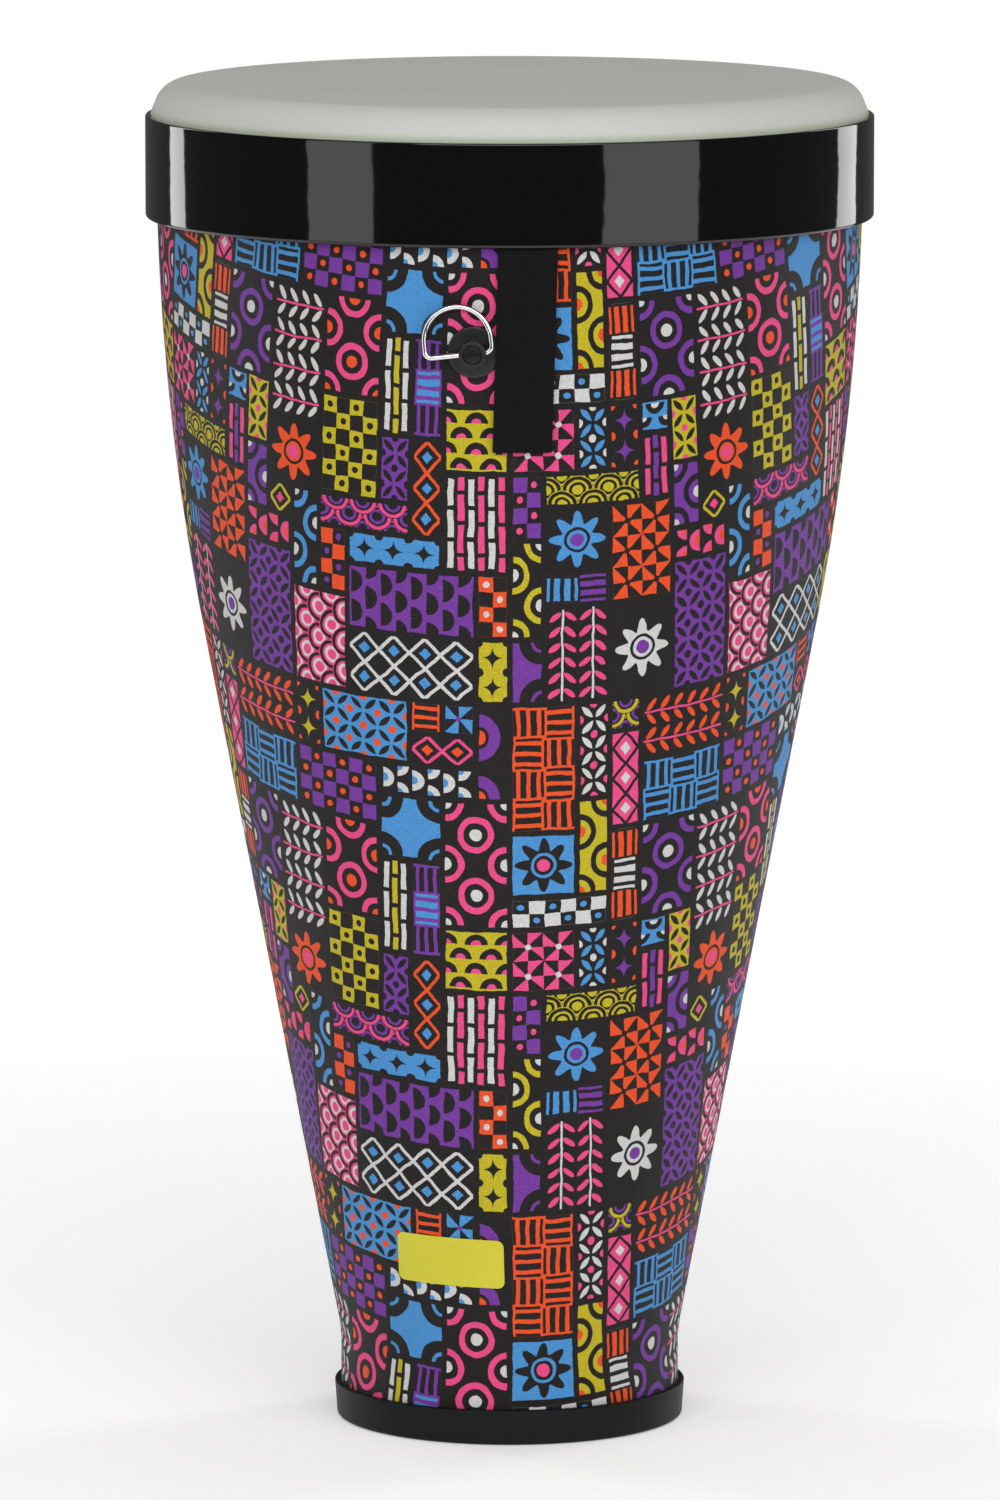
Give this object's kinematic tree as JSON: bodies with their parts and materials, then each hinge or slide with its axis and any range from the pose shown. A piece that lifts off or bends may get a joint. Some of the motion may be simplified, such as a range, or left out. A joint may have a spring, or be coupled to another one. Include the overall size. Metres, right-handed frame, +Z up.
{
  "type": "stack drum",
  "caption": "Tapered hand drum that stands on a rubber foot, with a lift-off head held by hook-and-loop straps and a carrying ring.",
  "frame": {"origin": "on the floor under the middle of the foot", "axes": "+Z up the drum's axis, towards the head; -Y towards the front, where the ring and one strap are; +X to the right seen from the front"},
  "size_m": [0.3116, 0.3118, 0.5787],
  "materials": {
    "shell_fibre": "resin-bonded fibre, matt",
    "printed_cover": "printed canvas with a thin vinyl coat, satin",
    "bearing_plastic": "moulded, matt",
    "foot_rubber": "moulded, matt",
    "hoop_gloss_black": "high gloss",
    "coated_film": "fine suede coat, matt",
    "flesh_hoop_resin": "cast, matt",
    "strap_webbing": "flat woven webbing",
    "hook_tape": "woven hook tape",
    "saddle_plastic": "moulded, fine matt grain",
    "ring_chrome": "bright plated wire",
    "blackened_steel": "black oxide, satin",
    "zinc_steel": "zinc plated",
    "sticker_yellow": "blank vinyl label, satin"
  },
  "bodies": {
    "shell": {"shell": "shell_fibre", "shell_wrap": "printed_cover", "bearing_ring": "bearing_plastic", "rubber_foot": "foot_rubber", "hook_pad_1": "hook_tape", "hook_pad_2": "hook_tape", "hook_pad_3": "hook_tape", "ring_flange": "saddle_plastic", "ring_saddle": "saddle_plastic", "saddle_screw": "blackened_steel", "backing_washer": "zinc_steel", "saddle_nut": "zinc_steel", "sticker": "sticker_yellow"},
    "head": {"counter_hoop": "hoop_gloss_black", "head_film": "coated_film", "flesh_hoop": "flesh_hoop_resin", "strap_anchor_1": "strap_webbing", "strap_anchor_2": "strap_webbing", "strap_anchor_3": "strap_webbing"},
    "strap_1": {"head_strap_1": "strap_webbing"},
    "strap_2": {"head_strap_2": "strap_webbing"},
    "strap_3": {"head_strap_3": "strap_webbing"},
    "ring": {"carry_ring": "ring_chrome"}
  },
  "joints": [
    {"name": "head_lift", "type": "slide", "parent": "shell", "child": "head", "axis": [0, 0, 1], "range_m": [0, 0.1]},
    {"name": "strap_peel_1", "type": "hinge", "parent": "head", "child": "strap_1", "pos_m": [0.00759, -0.15309, 0.5208], "axis": [-0.9988, -0.0495, 0], "range_deg": [0, 70]},
    {"name": "strap_peel_2", "type": "hinge", "parent": "head", "child": "strap_2", "pos_m": [0.12878, 0.08312, 0.5208], "axis": [0.5423, -0.8402, 0], "range_deg": [0, 70]},
    {"name": "strap_peel_3", "type": "hinge", "parent": "head", "child": "strap_3", "pos_m": [-0.13637, 0.06997, 0.5208], "axis": [0.4565, 0.8897, 0], "range_deg": [0, 70]},
    {"name": "ring_swing", "type": "hinge", "parent": "shell", "child": "ring", "pos_m": [-0.01536, -0.15218, 0.47722], "axis": [0.9878, -0.1073, 0.113], "range_deg": [0, 187]}
  ],
  "couplings": [
    {"joint": "strap_peel_1", "follows": "head_lift", "rad_per_m": 12.217},
    {"joint": "strap_peel_2", "follows": "head_lift", "rad_per_m": 12.217},
    {"joint": "strap_peel_3", "follows": "head_lift", "rad_per_m": 12.217}
  ]
}
